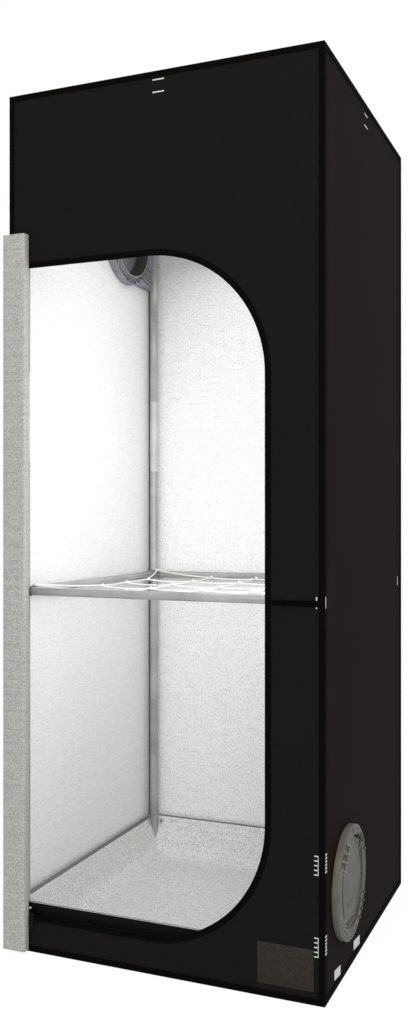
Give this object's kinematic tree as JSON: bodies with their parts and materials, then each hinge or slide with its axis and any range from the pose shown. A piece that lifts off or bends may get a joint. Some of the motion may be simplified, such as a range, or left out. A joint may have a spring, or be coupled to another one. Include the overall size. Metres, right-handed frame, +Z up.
{
  "type": "indoor grow tent",
  "caption": "Tall square grow tent: poled frame, black zipped cover with its D shaped door rolled aside, netted plant ring on the uprights, spill tray and round side vents.",
  "frame": {"origin": "middle of the floor panel's underside", "axes": "+Z up, +X to the right along the door side, +Y from the door side to the back"},
  "size_m": [0.619, 0.6173, 1.565],
  "materials": {
    "black_cloth": "woven, matt",
    "binding": "webbing, matt",
    "silver_cloth": "pebbled reflective film",
    "coated_steel": "satin powder coat",
    "nylon": "moulded",
    "vent_nylon": "moulded",
    "cord": "braided",
    "zip_metal": "black lacquer"
  },
  "bodies": {
    "tent": {"floor_connector_front_left": "nylon", "roof_connector_front_left": "nylon", "lower_pole_front_left": "coated_steel", "joiner_front_left": "coated_steel", "upper_pole_front_left": "coated_steel", "floor_connector_front_right": "nylon", "roof_connector_front_right": "nylon", "lower_pole_front_right": "coated_steel", "joiner_front_right": "coated_steel", "upper_pole_front_right": "coated_steel", "floor_connector_rear_left": "nylon", "roof_connector_rear_left": "nylon", "lower_pole_rear_left": "coated_steel", "joiner_rear_left": "coated_steel", "upper_pole_rear_left": "coated_steel", "floor_connector_rear_right": "nylon", "roof_connector_rear_right": "nylon", "lower_pole_rear_right": "coated_steel", "joiner_rear_right": "coated_steel", "upper_pole_rear_right": "coated_steel", "floor_rail_front": "coated_steel", "floor_rail_rear": "coated_steel", "floor_rail_left": "coated_steel", "floor_rail_right": "coated_steel", "roof_rail_front": "coated_steel", "roof_rail_rear": "coated_steel", "roof_rail_left": "coated_steel", "roof_rail_right": "coated_steel", "front_panel": "black_cloth", "back_panel": "black_cloth", "left_panel": "black_cloth", "right_panel": "black_cloth", "roof_panel": "black_cloth", "floor_panel": "black_cloth", "edge_tape": "binding", "zip_tape": "binding", "front_strap": "binding", "spill_tray": "silver_cloth", "vent_low_flange": "vent_nylon", "vent_low_clamp_ring": "vent_nylon", "vent_low_bracket": "vent_nylon", "vent_high_flange": "vent_nylon", "vent_high_clamp_ring": "vent_nylon", "vent_high_bracket": "vent_nylon"},
    "door_roll": {"door_roll": "silver_cloth"},
    "zip_slider": {"zip_slider": "zip_metal"},
    "zip_pull": {"zip_pull": "zip_metal"},
    "vent_low_cap": {"vent_low_cap": "vent_nylon"},
    "vent_high_cap": {"vent_high_cap": "vent_nylon"},
    "support_ring": {"ring_bar_front": "coated_steel", "ring_bar_rear": "coated_steel", "ring_bar_left": "coated_steel", "ring_bar_right": "coated_steel", "ring_clip_front_left": "nylon", "ring_clip_front_right": "nylon", "ring_clip_rear_left": "nylon", "ring_clip_rear_right": "nylon", "plant_net": "cord"},
    "hanging_bar_front": {"hanging_bar_front": "coated_steel"},
    "hanging_bar_rear": {"hanging_bar_rear": "coated_steel"}
  },
  "joints": [
    {"name": "door_seam", "type": "hinge", "parent": "tent", "child": "door_roll", "pos_m": [-0.303, -0.3003, 0.6575], "axis": [0, 0, 1], "range_deg": [-180, 0]},
    {"name": "zip_run", "type": "slide", "parent": "tent", "child": "zip_slider", "axis": [1, 0, 0], "range_m": [0, 0.22]},
    {"name": "zip_pull_pivot", "type": "hinge", "parent": "zip_slider", "child": "zip_pull", "pos_m": [-0.2505, -0.3036, 0.0638], "axis": [0, 1, 0], "range_deg": [-100, 5]},
    {"name": "vent_low_turn", "type": "hinge", "parent": "tent", "child": "vent_low_cap", "pos_m": [0.3055, -0.16, 0.158], "axis": [1, 0, 0], "range_deg": [0, 25]},
    {"name": "vent_high_turn", "type": "hinge", "parent": "tent", "child": "vent_high_cap", "pos_m": [-0.3055, 0.16, 1.411], "axis": [-1, 0, 0], "range_deg": [0, 25]},
    {"name": "support_ring_height", "type": "slide", "parent": "tent", "child": "support_ring", "axis": [0, 0, 1], "range_m": [-0.38, 0.63]},
    {"name": "hanging_bar_front_slide", "type": "slide", "parent": "tent", "child": "hanging_bar_front", "axis": [0, 1, 0], "range_m": [-0.1, 0.1]},
    {"name": "hanging_bar_rear_slide", "type": "slide", "parent": "tent", "child": "hanging_bar_rear", "axis": [0, 1, 0], "range_m": [-0.1, 0.1]}
  ]
}
